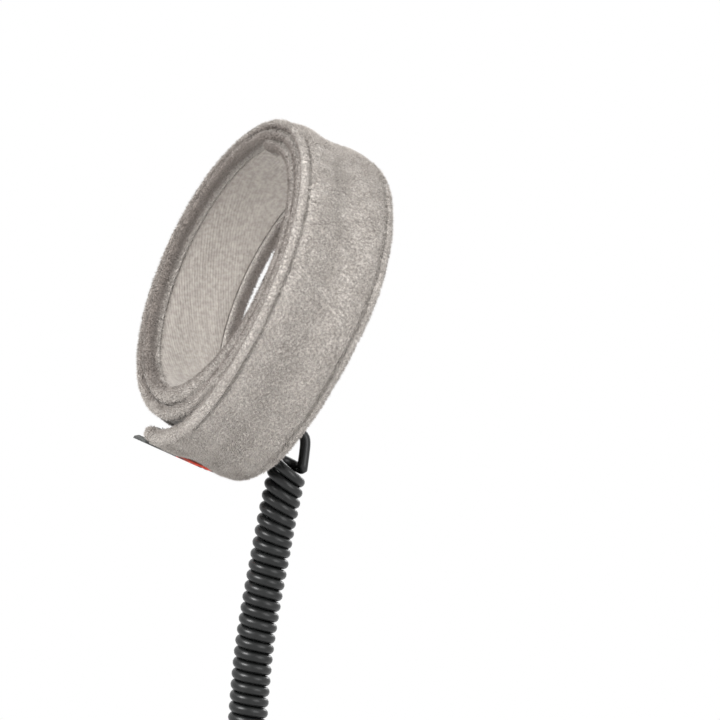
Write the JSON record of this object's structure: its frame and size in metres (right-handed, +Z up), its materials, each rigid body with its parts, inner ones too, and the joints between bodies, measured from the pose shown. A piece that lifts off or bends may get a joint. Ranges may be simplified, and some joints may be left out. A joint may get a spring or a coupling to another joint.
{
  "type": "telescope dew heater strip",
  "caption": "Padded fleece heater strip wound into a loose roll round a lens, with a pull tab at its outer end and a curly power cord that ends in a phono plug.",
  "frame": {"origin": "middle of the opening that the lens fills, halfway along the strap's width", "axes": "-Y the way the lens looks along the ground, +Z up, +X to the right of the lens seen from behind it; the roll is tipped up 23 degrees about X and the cord hangs along -Z"},
  "size_m": [0.1041, 0.0743, 0.329],
  "materials": {
    "fleece": "soft short-pile fleece, warm light grey",
    "lining": "flat knitted lining, warm grey",
    "wadding": "off-white needled wadding",
    "element_alloy": "dull resistance alloy strip",
    "cutout_case": "off-white moulded case",
    "crimp_metal": "tinned",
    "red_wire": "smooth red wire insulation",
    "black_wire": "smooth black wire insulation",
    "relief_rubber": "satin moulded rubber",
    "hook_tape": "black woven tape with stiff hooks",
    "tab_webbing": "dense black webbing with a plain red band",
    "cord_jacket": "satin black cord jacket",
    "plug_rubber": "matt moulded plug grip",
    "plug_metal": "bright nickel plate",
    "plug_insulator": "off-white moulded insulator"
  },
  "bodies": {
    "root": {"outer_cover": "fleece", "inner_cover": "lining", "foam_pad": "wadding", "heating_element": "element_alloy", "overheat_cutout": "cutout_case", "crimp_supply": "crimp_metal", "crimp_return": "crimp_metal", "lead_supply": "red_wire", "lead_return": "black_wire", "strain_relief": "relief_rubber", "hook_tape": "hook_tape", "end_tab": "tab_webbing", "cord_lead": "cord_jacket", "curly_cord": "cord_jacket", "cord_tail": "cord_jacket", "plug_body": "plug_rubber", "plug_shell": "plug_metal", "plug_insulator": "plug_insulator", "plug_pin": "plug_metal"}
  },
  "joints": []
}
